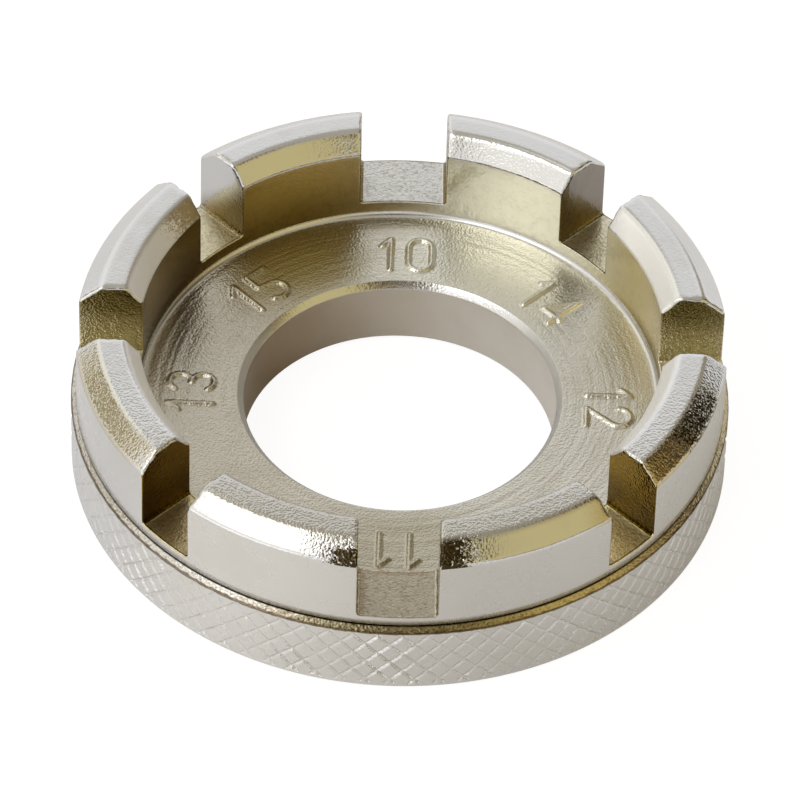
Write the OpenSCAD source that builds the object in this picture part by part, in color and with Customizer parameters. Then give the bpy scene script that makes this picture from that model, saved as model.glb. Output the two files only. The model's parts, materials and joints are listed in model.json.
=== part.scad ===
// Round spoke wrench: a crown of eight jaws with a knurled grip ring pressed on its foot.
// Millimetres, +Z up. The origin is the middle of the underside.
// Looking along +Y, slot 10 is at the back, slot 12 on the right and slot 11 in front.

/* [Grip ring] */
// Outside diameter of the whole wrench, over the knurling
ring_d = 38; // [34:0.5:44]
// Height of the ring, from the underside to the crown's shoulder
ring_h = 4.75; // [3:0.05:8]
// Wall of the ring, from its bore to its outside
ring_wall = 2; // [1:0.1:3]
// Width of the bevel round the ring's top edge
ring_bevel = 0.3; // [0.1:0.05:0.6]
// Width of the bevel round the ring's bottom edge
ring_foot_bevel = 0.2; // [0.05:0.05:0.6]

/* [Crown] */
// Wall of the crown, from its cavity to its outside
crown_wall = 3.65; // [3:0.05:5]
// Height of the jaws above the slot floors
jaw_h = 5; // [3:0.1:8]
// Radial width of the bevel on the outside of the jaws
outer_bevel_w = 1.2; // [0.4:0.05:1.4]
// Height of the bevel on the outside of the jaws
outer_bevel_h = 1; // [0.4:0.05:1.4]
// Radial width of the bevel on the inside of the jaws
inner_bevel_w = 0.9; // [0.4:0.05:1.2]
// Height of the bevel on the inside of the jaws
inner_bevel_h = 1.1; // [0.4:0.05:1.4]
// Radius of the fillet between the cavity's wall and the web
cavity_fillet = 0.25; // [0.1:0.05:0.5]

/* [Web and bore] */
// Depth of the web below the slot floors
web_drop = 1; // [0.4:0.05:2]
// Diameter of the bore through the web
bore_d = 18.1; // [12:0.1:20]
// Width of the bevel at the bore's top edge
bore_bevel = 0.35; // [0.1:0.05:0.6]
// Width of the bevel at the edges on the underside
foot_bevel = 0.3; // [0.1:0.05:0.6]

/* [Slots] */
// Rise of the slot floors above the ring's top
floor_rise = 0.75; // [0.3:0.05:2]
// Radius in the bottom corners of the slots
slot_corner_r = 0.4; // [0.1:0.05:0.8]
// Width of slot 10, at the back
slot_10_w = 5.05; // [4:0.05:6]
// Width of slot 11, in front
slot_11_w = 4.55; // [3.5:0.05:6]
// Width of slot 12, on the right
slot_12_w = 4.25; // [3.5:0.05:6]
// Width of slot 13, on the left
slot_13_w = 4; // [3:0.05:6]
// Width of slot 14, back right
slot_14_w = 3.75; // [3:0.05:6]
// Width of slot 15, back left
slot_15_w = 3.4; // [2.5:0.05:6]
// Width of the plain slot, front left
slot_left_w = 3.65; // [2.5:0.05:6]
// Width of the plain slot, front right
slot_right_w = 3.5; // [2.5:0.05:6]

/* [Raised numbers] */
// Height of the digits, along the radius
digit_h = 2.95; // [1.5:0.05:3.2]
// Width of a round digit
digit_w = 1.75; // [1:0.05:2]
// Width of the strokes
stroke_w = 0.38; // [0.2:0.01:0.5]
// Gap between the two digits of a number
digit_gap = 0.65; // [0.3:0.05:1]
// Height of the digits above the web
relief = 0.16; // [0.05:0.01:0.3]
// How far the numbers' circle lies off the axis, towards slot 11
number_shift = 0.5; // [0:0.05:0.8]
// How far each number is turned clockwise from its slot, in degrees
number_turn = 1; // [-3:0.5:3]

/* [Hidden] */
$fn = 180;
overrun = 1;
root_depth = 0.2;
fillet_steps = 4;

// Radii, from the outside inwards
ring_r = ring_d / 2;
crown_r = ring_r - ring_bevel;
seat_r = ring_r - ring_wall;
cavity_r = crown_r - crown_wall;
jaw_top_outer_r = crown_r - outer_bevel_w;
jaw_top_inner_r = cavity_r + inner_bevel_w;
bore_r = bore_d / 2;

// Heights, from the underside up
slot_floor_z = ring_h + floor_rise;
web_z = slot_floor_z - web_drop;
crown_h = slot_floor_z + jaw_h;

// Each slot: its azimuth from +X, its width, and the two digits of its number
slot_pitch = 45;
SLOTS = [
    [0, slot_12_w, [1, 2]],
    [1, slot_14_w, [1, 4]],
    [2, slot_10_w, [1, 0]],
    [3, slot_15_w, [1, 5]],
    [4, slot_13_w, [1, 3]],
    [5, slot_left_w, []],
    [6, slot_11_w, [1, 1]],
    [7, slot_right_w, []]
];

// The numbers stand in the middle of the web's width
number_r = (bore_r + cavity_r) / 2;
// Radius of the bows in the digits, to the middle of the stroke
bow_r = (digit_w - stroke_w) / 2;
small_bow_r = (digit_h - stroke_w) / 4;
// Shares of a digit's height and width, for the ends of its strokes
flag_drop_share = 0.2;
flag_reach_share = 0.3;
five_waist_share = 0.56;
four_bar_share = 0.28;
four_stem_share = 0.22;

function arc(centre, r, from, to) =
    [for (i = [0 : fillet_steps])
        let (a = from + (to - from) * i / fillet_steps)
        [centre[0] + r * cos(a), centre[1] + r * sin(a)]];

// Half section of the crown, web and seat
module crown_section() {
    polygon(concat(
        [
            [bore_r + foot_bevel, 0],
            [seat_r, 0],
            [seat_r, ring_h],
            [crown_r, ring_h],
            [crown_r, crown_h - outer_bevel_h],
            [jaw_top_outer_r, crown_h],
            [jaw_top_inner_r, crown_h],
            [cavity_r, crown_h - inner_bevel_h]
        ],
        arc([cavity_r - cavity_fillet, web_z + cavity_fillet], cavity_fillet, 0, -90),
        [
            [bore_r + bore_bevel, web_z],
            [bore_r, web_z - bore_bevel],
            [bore_r, foot_bevel]
        ]
    ));
}

// One open slot along +X, with rounded bottom corners
module slot_cut(w) {
    reach = crown_r + overrun;
    rise = jaw_h + overrun;
    translate([reach, 0, slot_floor_z])
        rotate([90, 0, -90])
            linear_extrude(reach) {
                translate([-w / 2 + slot_corner_r, 0])
                    square([w - 2 * slot_corner_r, rise]);
                translate([-w / 2, slot_corner_r])
                    square([w, rise - slot_corner_r]);
                for (side = [-1, 1])
                    translate([side * (w / 2 - slot_corner_r), slot_corner_r])
                        circle(slot_corner_r);
            }
}

// A straight stroke from p to q, with round ends
module stroke(p, q) {
    run = q - p;
    translate([p[0], p[1], 0])
        rotate([0, 0, atan2(run[1], run[0])])
            translate([0, -stroke_w / 2, 0])
                cube([norm(run), stroke_w, root_depth + relief]);
    for (end = [p, q])
        translate([end[0], end[1], 0])
            cylinder(d = stroke_w, h = root_depth + relief, $fn = 24);
}

// A curved stroke round a centre
module bow(centre, r, from, sweep) {
    translate([centre[0], centre[1], 0])
        rotate([0, 0, from])
            rotate_extrude(angle = sweep, $fn = 48)
                translate([r - stroke_w / 2, 0])
                    square([stroke_w, root_depth + relief]);
}

// The digits stand on y = 0, reach to digit_h and are centred on x = 0
top_y = digit_h - stroke_w / 2;
foot_y = stroke_w / 2;

module digit_zero() {
    for (side = [-1, 1])
        stroke([side * bow_r, foot_y + bow_r], [side * bow_r, top_y - bow_r]);
    bow([0, top_y - bow_r], bow_r, 0, 180);
    bow([0, foot_y + bow_r], bow_r, 180, 180);
}

module digit_one() {
    stroke([0, foot_y], [0, top_y]);
    stroke([0, top_y], [-flag_reach_share * digit_w, top_y - flag_drop_share * digit_h]);
}

module digit_two() {
    turn = 40;
    centre = [0, top_y - bow_r];
    bow(centre, bow_r, -turn, 180 + turn);
    stroke(centre + bow_r * [cos(turn), -sin(turn)], [-bow_r, foot_y]);
    stroke([-bow_r, foot_y], [bow_r, foot_y]);
}

module digit_three() {
    hook = 150;
    bow([0, top_y - small_bow_r], small_bow_r, -90, 90 + hook);
    bow([0, foot_y + small_bow_r], small_bow_r, -hook, 90 + hook);
}

module digit_four() {
    bar_y = four_bar_share * digit_h;
    stem_x = four_stem_share * digit_w;
    stroke([stem_x, foot_y], [stem_x, top_y]);
    stroke([stem_x, top_y], [-bow_r, bar_y]);
    stroke([-bow_r, bar_y], [bow_r, bar_y]);
}

module digit_five() {
    waist_y = five_waist_share * digit_h;
    hook = 140;
    stroke([-bow_r, top_y], [bow_r, top_y]);
    stroke([-bow_r, top_y], [-bow_r, waist_y]);
    stroke([-bow_r, waist_y], [0, foot_y + 2 * bow_r]);
    bow([0, foot_y + bow_r], bow_r, -hook, 90 + hook);
}

module digit(n) {
    if (n == 0) digit_zero();
    if (n == 1) digit_one();
    if (n == 2) digit_two();
    if (n == 3) digit_three();
    if (n == 4) digit_four();
    if (n == 5) digit_five();
}

// A number's two digits, side by side, with the feet towards the bore
module number(digits) {
    step = (digit_w + stroke_w) / 2 + digit_gap;
    for (i = [0 : len(digits) - 1])
        translate([(i - 1 / 2) * step, -digit_h / 2, 0])
            digit(digits[i]);
}

module raised_numbers() {
    translate([0, -number_shift, web_z - root_depth])
        for (slot = SLOTS)
            if (len(slot[2]) > 0)
                rotate([0, 0, slot[0] * slot_pitch - 90 - number_turn])
                    translate([0, number_r, 0])
                        number(slot[2]);
}

// The crown, its web with the bore, and the raised numbers, formed as one piece
module crown_body() {
    color([0.79, 0.77, 0.73]) {
        difference() {
            rotate_extrude()
                crown_section();
            for (slot = SLOTS)
                rotate([0, 0, slot[0] * slot_pitch])
                    slot_cut(slot[1]);
        }
        raised_numbers();
    }
}

// The grip ring, pressed on the seat from below until it meets the shoulder
module knurled_ring() {
    color([0.72, 0.71, 0.69])
        rotate_extrude()
            polygon([
                [seat_r, 0],
                [ring_r - ring_foot_bevel, 0],
                [ring_r, ring_foot_bevel],
                [ring_r, ring_h - ring_bevel],
                [crown_r, ring_h],
                [seat_r, ring_h]
            ]);
}

crown_body();
knurled_ring();
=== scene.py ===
import json
import math

import bmesh
import bpy
import numpy as np
from bpy.props import FloatProperty, FloatVectorProperty, IntProperty, PointerProperty
from mathutils import Matrix, Vector, noise


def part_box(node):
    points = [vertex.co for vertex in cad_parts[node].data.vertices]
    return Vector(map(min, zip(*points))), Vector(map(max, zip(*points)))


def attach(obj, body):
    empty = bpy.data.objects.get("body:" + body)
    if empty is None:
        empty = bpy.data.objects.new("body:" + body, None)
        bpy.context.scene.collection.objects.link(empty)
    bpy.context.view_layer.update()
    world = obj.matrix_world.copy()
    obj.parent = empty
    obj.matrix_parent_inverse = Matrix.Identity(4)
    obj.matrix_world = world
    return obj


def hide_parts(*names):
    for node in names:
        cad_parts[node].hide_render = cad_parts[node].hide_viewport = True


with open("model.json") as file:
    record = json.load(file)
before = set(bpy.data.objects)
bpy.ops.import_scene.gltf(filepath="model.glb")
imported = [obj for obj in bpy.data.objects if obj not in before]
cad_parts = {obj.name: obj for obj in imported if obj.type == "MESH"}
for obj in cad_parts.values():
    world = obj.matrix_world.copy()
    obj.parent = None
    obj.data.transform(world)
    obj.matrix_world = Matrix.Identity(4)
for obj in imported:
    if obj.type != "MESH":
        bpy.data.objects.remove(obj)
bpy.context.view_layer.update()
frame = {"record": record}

bl_info = {
    "name": "Spoke Wrench",
    "version": (1, 0, 0),
    "blender": (4, 5, 0),
    "location": "View3D > Sidebar > Spoke Wrench",
    "description": "Builds a round spoke wrench with a knurled grip ring, and a studio to show it in",
    "category": "Add Mesh",
}

MM = 0.001
FULL_TURN = 2 * math.pi
UP = np.array([0.0, 0.0, 1.0])

# Places that the frame settles
MOUNTS = {mount["name"]: mount for mount in frame["record"]["mounts"]}
CROWN_R, _, CROWN_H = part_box("crown_body")[1]
RING_R, _, RING_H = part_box("knurled_ring")[1]
BORE_R = MOUNTS["hub_bore"]["dims"]["r_mm"] * MM

# Each slot anticlockwise from +X: its mount, its width in millimetres and its number
SLOTS = (
    ("nipple_slot_12", 4.25, "12"),
    ("nipple_slot_14", 3.75, "14"),
    ("nipple_slot_10", 5.05, "10"),
    ("nipple_slot_15", 3.4, "15"),
    ("nipple_slot_13", 4.0, "13"),
    ("plain_slot_left", 3.65, ""),
    ("nipple_slot_11", 4.55, "11"),
    ("plain_slot_right", 3.5, ""),
)
SLOT_COUNT = len(SLOTS)
SLOT_FLOOR = MOUNTS[SLOTS[0][0]]["pos_m"][2]
SLOT_PITCH = FULL_TURN / SLOT_COUNT


# Settings

def length(name, description, millimetres, least=0):
    """A length that can be changed, written in millimetres and kept in metres."""
    start = millimetres * MM
    return FloatProperty(
        name=name, description=description, default=start, min=least * MM, precision=5, unit="LENGTH"
    )


def tilt(name, description, degrees):
    """An angle that can be changed, written in degrees."""
    return FloatProperty(
        name=name, description=description, default=math.radians(degrees), subtype="ANGLE"
    )


def share(name, description, value):
    """A share from nothing to the whole."""
    return FloatProperty(
        name=name, description=description, default=value, min=0, max=1, subtype="FACTOR"
    )


def colour(name, description, value):
    """A colour that can be changed."""
    return FloatVectorProperty(
        name=name, description=description, default=value, min=0, max=4, size=3, subtype="COLOR"
    )


class CrownSizes(bpy.types.PropertyGroup):
    """Sizes of the crown, its slots and its numbers."""

    wall: length("Wall", "Wall of the crown, from its cavity to its outside", 3.65)
    outer_bevel_w: length("Outer bevel width", "Radial width of the bevel outside the jaws", 1.2)
    outer_bevel_h: length("Outer bevel height", "Height of the bevel outside the jaws", 1.0)
    inner_bevel_w: length("Inner bevel width", "Radial width of the bevel inside the jaws", 0.9)
    inner_bevel_h: length("Inner bevel height", "Height of the bevel inside the jaws", 1.1)
    outer_crest: length("Outer crest", "Radius between a jaw's top and its outer bevel", 0.7)
    inner_crest: length("Inner crest", "Radius between a jaw's top and its inner bevel", 0.6)
    outer_shoulder: length("Outer shoulder", "Radius between a jaw's outer bevel and its wall", 0.45)
    inner_shoulder: length("Inner shoulder", "Radius between a jaw's inner bevel and its wall", 0.3)
    edge_round: length("Edge rounding", "Radius along the slots' edges", 0.06)
    crest_edge_round: length("Crest rounding", "Radius along the slots' edges, over the jaws' tops", 0.17)
    foot_gap: length("Foot gap", "Bevel at the crown's foot, which leaves the dark line on the ring", 0.14)
    cavity_fillet: length("Cavity fillet", "Radius between the cavity's wall and the web", 0.4)
    web_drop: length("Web drop", "Depth of the web below the slot floors", 1.0)
    bore_bevel: length("Bore bevel", "Width of the bevel at the bore's top", 0.35)
    foot_bevel: length("Foot bevel", "Width of the bevel at the edges of the underside", 0.3)
    slot_corner: length("Slot corner", "Radius in the bottom corners of the slots", 0.22)
    slot_widths: FloatVectorProperty(
        name="Slot widths", description="Width of each slot, anticlockwise from +X",
        default=[width * MM for _, width, _ in SLOTS], size=SLOT_COUNT, precision=5, unit="LENGTH",
    )
    mesh_step: length("Mesh step", "Length of a face on the jaws", 0.14)
    number_step: length("Number step", "Length of a face on the raised numbers", 0.078)
    wide_step: length("Wide step", "Length of a face on the web, inside and outside the numbers", 0.3)
    digit_h: length("Digit height", "Height of the digits, along the radius", 2.95)
    digit_w: length("Digit width", "Width of a round digit", 1.75)
    stroke_w: length("Stroke width", "Width of the digits' strokes", 0.38)
    digit_gap: length("Digit gap", "Gap between a number's two digits", 0.65)
    relief: length("Relief", "Height of the digits above the web", 0.16)
    number_shift: length("Number shift", "How far the numbers' circle lies towards slot 11", 0.5)
    number_turn: tilt("Number turn", "How far each number is turned clockwise from its slot", 1)
    burr_depth: length("Burr depth", "How uneven the jaws' top edges are along the slots", 0.07)
    burr_size: length("Burr size", "Length of the dents in the jaws' top edges", 0.3)
    burr_reach: length("Burr reach", "How far the uneven edge reaches from a slot", 0.4)
    mark_depth: length("Mark depth", "Depth of the turning marks on the web", 0.011)
    mark_pitch: length("Mark pitch", "Distance between the coarser turning marks on the web", 0.3)


class RingSizes(bpy.types.PropertyGroup):
    """Sizes of the knurled grip ring."""

    wall: length("Wall", "Wall of the ring, from its bore to its outside", 2.0)
    bevel: length("Top bevel", "Width of the bevel round the ring's top edge", 0.3)
    foot_bevel: length("Foot bevel", "Width of the bevel round the ring's bottom edge", 0.2)
    edge_round: length("Edge rounding", "Radius at the edges of the ring's bevels", 0.06)
    starts: IntProperty(
        name="Starts", description="Grooves that run each way round the ring", default=85, min=20, max=140
    )
    lean: tilt("Lean", "Angle between a groove and the ring's axis", 45)
    groove_depth: length("Groove depth", "Depth of the knurling", 0.1)
    groove_width: length("Groove width", "Width of a groove, square to its run", 0.28)
    unevenness: share("Unevenness", "How much the grooves' depth varies round the ring", 0.4)
    steps: IntProperty(
        name="Steps", description="Faces from one groove to the next", default=15, min=8, max=15
    )


class Finishes(bpy.types.PropertyGroup):
    """Colours and roughness of the plating. Many colours are painted reflections, and some are painted
    shade, as noted above them.
    """

    plating: colour("Plating", "Nickel plating", (0.705, 0.705, 0.71))
    tarnish: colour("Tarnish", "Tint over the plating where it is dull", (0.90, 0.885, 0.85))
    bright: colour("Bright plating", "Clean, matt plating on the inner bevels", (0.97, 0.96, 0.95))
    near_top: colour("Near tint", "Tint over the jaws' tops and the web by slot 11", (0.80, 0.775, 0.71))
    # Painted dark reflection on the outer bevels by slot 11 and on the right, standing for dark things that
    # they mirror
    painted_dark_reflection: colour("Dark plating", "Darkest patches on the outer bevels", (0.055, 0.04, 0.018))
    # Painted gold reflection, standing for warm walls that are mirrored: on the cavity's wall on the right,
    # the outer bevels at the sides and the ring's bevel
    painted_gold_reflection: colour("Thin plating", "Cavity's wall by slot 12", (0.55, 0.45, 0.22))
    # Painted reflection on the cavity's wall: brown on the left, darker brown farther left and on the inner
    # bevels at the back on the left, lighter by slots 10 and 14
    painted_brown_reflection: colour("Brown plating", "Cavity's wall by slot 15", (0.55, 0.43, 0.25))
    painted_far_brown_reflection: colour("Far brown", "Cavity's wall by slot 13", (0.36, 0.26, 0.09))
    painted_light_reflection: colour("Clean plating", "Cavity's wall by slots 10 and 14", (0.59, 0.575, 0.495))
    # Painted reflection on the slots' walls: dark high up and light low down in the side slots, darker low
    # down in the front slots, light and brown in the back slots. The side slots' dark also darkens the
    # ring's bevel in front
    painted_side_high: colour("Side slots, high up", "Walls of slots 12 and 13, high up", (0.26, 0.225, 0.11))
    painted_side_low: colour("Side slots, low down", "Walls of slots 12 and 13, low down", (0.72, 0.66, 0.46))
    painted_front_high: colour("Front slots, high up", "Walls of the plain slots, high up", (0.26, 0.165, 0.02))
    painted_front_low: colour("Front slots, low down", "Walls of the plain slots, low down", (0.10, 0.06, 0.004))
    painted_back_grey: colour("Slot 14", "Walls of slot 14, on the outside", (0.37, 0.345, 0.33))
    painted_back_brown: colour("Back slots", "Walls of slots 14 and 15, by the cavity", (0.23, 0.175, 0.07))
    floor_plating: colour("Floor 14", "Floor of slot 14", (0.88, 0.85, 0.665))
    floor_dull: colour("Floor 15", "Floor of slot 15", (0.77, 0.72, 0.54))
    front_floor: colour("Front floor", "Floor of the plain slot on the left", (0.74, 0.64, 0.38))
    floor_right: colour("Front floor, right", "Floor of the plain slot on the right", (0.92, 0.84, 0.55))
    web_plating: colour("Web plating", "Web on the side of slot 12", (0.67, 0.65, 0.585))
    dull_web: colour("Dull web", "Web on the side of slot 13", (0.585, 0.55, 0.475))
    # Painted reflection on the web: lighter by slots 10 and 14, browner by slot 15
    painted_light_web: colour("Clean web", "Web by slots 10 and 14", (0.81, 0.80, 0.72))
    painted_brown_web: colour("Web tint", "Tint over the web by slot 15", (0.72, 0.70, 0.47))
    bore_plating: colour("Bore plating", "Bore on the side of slot 12", (0.75, 0.725, 0.685))
    # Painted shade: the bore's side by slot 13, standing for the shaded floor that it mirrors, and the
    # shadow along slot 11's floor
    painted_brown_shade: colour("Brown bore", "Bore on the side of slot 13", (0.28, 0.20, 0.115))
    stain: colour("Stain", "Brown stains in the slots", (0.13, 0.085, 0.03))
    # Painted shade: the dark line in the gap over the ring, the knurl's groove bottoms and the foot of the
    # ring's bevel
    painted_crease_shade: colour("Grime", "What gathers in the line over the ring", (0.10, 0.06, 0.03))
    smooth: share("Smooth roughness", "Roughness of the turned faces", 0.26)
    clear: share("Clear roughness", "Roughness of the cavity's and the slots' walls", 0.17)
    grained: share("Grained roughness", "Roughness of the formed faces", 0.2)
    matt: share("Matt roughness", "Roughness of the web and the bore", 0.3)


class StudioSizes(bpy.types.PropertyGroup):
    """The floor and the camera. The floor's tones are what the part mirrors: painted shade close by on the
    left and right, and painted light in front on the left.
    """

    floor_r: length("Floor radius", "Radius of the floor", 2500)
    floor_tone: colour("Floor", "The floor as the camera sees it", (0.9, 0.9, 0.9))
    # Painted light and shade, seen only in the part's reflections
    front_left_painted_light: colour("Front left tone", "Close by, in front on the left", (1.05, 1.05, 1.07))
    left_painted_shade: colour("Left tone", "Close by on the left", (0.84, 0.84, 0.88))
    right_painted_shade: colour("Right tone", "Close by on the right", (0.80, 0.79, 0.80))
    far_tone: colour("Far tone", "Farther off", (0.98, 1.0, 1.09))
    focal_px: FloatProperty(
        name="Focal length", description="Focal length in pixels", default=7082.7, subtype="PIXEL"
    )
    picture_px: FloatProperty(
        name="Picture width", description="Width of the picture in pixels", default=800, subtype="PIXEL"
    )
    distance: length("Distance", "Distance of the camera", 412.44)
    aside: length("Aside", "Part's origin in the picture, to the right of its middle", -0.10, -20)
    above: length("Above", "Part's origin in the picture, above its middle", -2.81, -20)
    elevation: tilt("Elevation", "Camera's angle above the floor", 45.03)
    azimuth: tilt("Azimuth", "Camera's turn round the part", -0.70)
    roll: tilt("Roll", "Camera's roll", 1.79)


# Mesh tools

def new_object(name, data):
    """Makes an object and puts it in the scene."""
    made = bpy.data.objects.new(name, data)
    bpy.context.scene.collection.objects.link(made)
    return made


def closed_piece(name, mesh, mend=None):
    """Turns a mesh's faces outward, mends them, checks that the mesh is closed, and makes its object."""
    tool = bmesh.new()
    tool.from_mesh(mesh)
    bmesh.ops.recalc_face_normals(tool, faces=tool.faces)
    if mend:
        mend(tool)
    open_edges = sum(1 for edge in tool.edges if not edge.is_manifold)
    tool.to_mesh(mesh)
    tool.free()
    if open_edges:
        raise RuntimeError(f"{name} isn't closed: {open_edges} edges")
    return new_object(name, mesh)


class Shell:
    """Gathers the points and faces of one closed mesh."""

    def __init__(self):
        self.points = []
        self.outward = []
        self.faces = []
        self.finish = []
        self.count = 0

    def add(self, points, outward):
        """Adds points with the directions that they face, and returns their numbers in the same layout."""
        shape = points.shape[:-1]
        self.points.append(points.reshape(-1, 3))
        self.outward.append(np.broadcast_to(outward, points.shape).reshape(-1, 3))
        first = self.count
        self.count += self.points[-1].shape[0]
        return np.arange(first, self.count).reshape(shape)

    def ring(self, angle, place, facing):
        """Adds points all round. place is their radius and height, and facing goes outwards and up."""
        return self.add(polar(angle, *place), polar(angle, *facing))

    def grid(self, numbers, finish):
        """Fills a grid of points with four-sided faces. finish is for all, or for each row or face."""
        corners = [numbers[:-1, :-1], numbers[:-1, 1:], numbers[1:, 1:], numbers[1:, :-1]]
        self.faces.extend(np.stack(corners, axis=-1).reshape(-1, 4).tolist())
        finish = np.asarray(finish)
        if finish.ndim < 2:
            finish = finish.reshape(-1, 1)
        each = np.broadcast_to(finish, corners[0].shape)
        self.finish.extend(each.reshape(-1).tolist())

    def band(self, low, high, finish):
        """Joins two closed rings that have the same number of points."""
        pair = np.stack([low, high])
        self.grid(np.concatenate([pair, pair[:, :1]], axis=1), finish)

    def carry(self, ring, angle, outline, facing, finish):
        """Carries a ring along an outline, one ring for each of its points, and returns the last ring."""
        for place, out in zip(outline, facing):
            next_ring = self.ring(angle, place, out)
            self.band(ring, next_ring, finish)
            ring = next_ring
        return ring

    def zip_rings(self, low, low_angles, high, high_angles, finish):
        """Joins two closed rings that differ in number of points, by their angles round the axis."""
        low_order = np.argsort(low_angles % FULL_TURN)
        high_order = np.argsort(high_angles % FULL_TURN)
        low_at = np.sort(low_angles % FULL_TURN)
        high_at = np.sort(high_angles % FULL_TURN)
        i = 0
        j = 0
        while i < len(low) or j < len(high):
            next_low = low_at[i + 1] if i + 1 < len(low) else low_at[0] + FULL_TURN
            next_high = high_at[j + 1] if j + 1 < len(high) else high_at[0] + FULL_TURN
            a = low[low_order[i % len(low)]]
            b = high[high_order[j % len(high)]]
            if j >= len(high) or (i < len(low) and next_low <= next_high):
                i += 1
                third = low[low_order[i % len(low)]]
            else:
                j += 1
                third = high[high_order[j % len(high)]]
            self.polygon([a, third, b], finish)

    def polygon(self, numbers, finish):
        """One face with its corners in order."""
        self.faces.append([int(n) for n in numbers])
        self.finish.append(finish)

    def build(self, name, shift, materials):
        """Makes the object, with shift added to every point."""
        mesh = bpy.data.meshes.new(name)
        mesh.from_pydata(np.concatenate(self.points) + shift, [], self.faces)
        mesh.polygons.foreach_set("material_index", self.finish)
        piece = closed_piece(name, mesh)
        mesh.polygons.foreach_set("use_smooth", [True] * len(mesh.polygons))
        for material in materials:
            mesh.materials.append(material)
        mesh.update()
        return piece


def polar(angle, radius, height):
    """Points from their angle round the axis, their radius and their height."""
    angle, radius, height = np.broadcast_arrays(angle, radius, height)
    return np.stack([radius * np.cos(angle), radius * np.sin(angle), height], axis=-1)


def rounded_outline(corners, radii, step, arc_steps):
    """Points of an outline with rounded corners, and the directions that they face, left of its run."""
    corners = np.array(corners, dtype=float)
    run = np.diff(corners, axis=0)
    run /= np.linalg.norm(run, axis=1)[:, None]
    left = np.stack([-run[:, 1], run[:, 0]], axis=1)
    points = [corners[0]]
    facing = [left[0]]

    def straight_to(end, direction):
        start = points[-1]
        pieces = max(1, round(np.linalg.norm(end - start) / step))
        for part in range(1, pieces + 1):
            points.append(start + (end - start) * part / pieces)
            facing.append(direction)

    for i, radius in enumerate(radii, start=1):
        turn = math.acos(float(np.clip(run[i - 1] @ run[i], -1, 1)))
        start = corners[i] - run[i - 1] * radius * math.tan(turn / 2)
        straight_to(start, left[i - 1])
        centre = start - left[i - 1] * radius
        x, y = left[i - 1]
        for part in range(1, arc_steps + 1):
            angle = -turn * part / arc_steps
            direction = np.array([
                x * math.cos(angle) - y * math.sin(angle),
                x * math.sin(angle) + y * math.cos(angle),
            ])
            points.append(centre + direction * radius)
            facing.append(direction)
    straight_to(corners[-1], left[-1])
    return np.array(points), np.array(facing)


def smooth_step(value, low, high):
    """Goes smoothly from 0 at low to 1 at high."""
    t = np.clip((value - low) / (high - low), 0, 1)
    return t * t * (3 - 2 * t)


# Raised numbers

def arc(centre_y, radius, start, sweep, steps=14):
    """Points along an arc round a centre on x = 0, with its angles in degrees."""
    angle = np.radians(start + sweep * np.linspace(0, 1, steps))
    return np.stack([radius * np.cos(angle), centre_y + radius * np.sin(angle)], axis=1)


def digit_stroke(digit, sizes):
    """The stroke of a digit, as a run of points. It stands on y = 0, with its middle at x = 0."""
    width = sizes.digit_w
    height = sizes.digit_h
    bow = (width - sizes.stroke_w) / 2
    small_bow = (height - sizes.stroke_w) / 4
    top = height - sizes.stroke_w / 2
    foot = sizes.stroke_w / 2
    quarter_turn = 90
    half_turn = 180
    if digit == "0":
        right = arc(foot + bow, bow, half_turn, half_turn)
        left = arc(top - bow, bow, 0, half_turn)
        return np.concatenate([left, right, left[:1]])
    if digit == "1":
        flag_reach_share = 0.3
        flag_drop_share = 0.2
        flag = (-flag_reach_share * width, top - flag_drop_share * height)
        return np.array([(0, foot), (0, top), flag])
    if digit == "2":
        hook = 40
        bend = arc(top - bow, bow, half_turn, -half_turn - hook)
        return np.concatenate([bend, [(-bow, foot), (bow, foot)]])
    if digit == "3":
        hook = 150
        upper = arc(top - small_bow, small_bow, hook, -hook - quarter_turn)
        lower = arc(foot + small_bow, small_bow, quarter_turn, -hook - quarter_turn)
        return np.concatenate([upper, lower])
    if digit == "4":
        bar_share = 0.28
        stem_share = 0.22
        bar = bar_share * height
        stem = stem_share * width
        return np.array([(stem, foot), (stem, top), (-bow, bar), (bow, bar)])
    waist_share = 0.56
    hook = 140
    bend = arc(foot + bow, bow, quarter_turn, -hook - quarter_turn)
    return np.concatenate([[(bow, top), (-bow, top), (-bow, waist_share * height)], bend])


def distance_to_stroke(x, y, stroke):
    """The least distance from each place to a stroke's middle line."""
    shortest_run = 1e-18
    least = np.full(x.shape, np.inf)
    for (ax, ay), (bx, by) in zip(stroke[:-1], stroke[1:]):
        run_x = bx - ax
        run_y = by - ay
        reach = max(run_x * run_x + run_y * run_y, shortest_run)
        along = np.clip(((x - ax) * run_x + (y - ay) * run_y) / reach, 0, 1)
        least = np.minimum(least, np.hypot(x - ax - along * run_x, y - ay - along * run_y))
    return least


def number_relief(x, y, angle, number, middle_r, sizes):
    """How high one number stands at each place on the web."""
    turn = -(angle - math.pi / 2 - sizes.number_turn)
    y = y + sizes.number_shift
    local_x = x * math.cos(turn) - y * math.sin(turn)
    local_y = x * math.sin(turn) + y * math.cos(turn) - middle_r + sizes.digit_h / 2
    step = (sizes.digit_w + sizes.stroke_w) / 2 + sizes.digit_gap
    least = np.full(x.shape, np.inf)
    for i, digit in enumerate(number):
        offset = (i - 1 / 2) * step
        stroke = digit_stroke(digit, sizes)
        least = np.minimum(least, distance_to_stroke(local_x - offset, local_y, stroke))
    foot_share = 0.58
    steepness = 1.5
    nearness = np.clip(1 - least / (foot_share * sizes.stroke_w), 0, 1)
    return sizes.relief * np.sin(math.pi / 2 * nearness) ** steepness


# Crown

# The crown's finishes, in the order of its material slots
FORMED, TURNED, CAVITY, FACED, MILLED, FLOORED, BORED = range(7)

# Angles of the points round the foot and the bore
COARSE = np.linspace(0, FULL_TURN, 240, endpoint=False)


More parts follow.
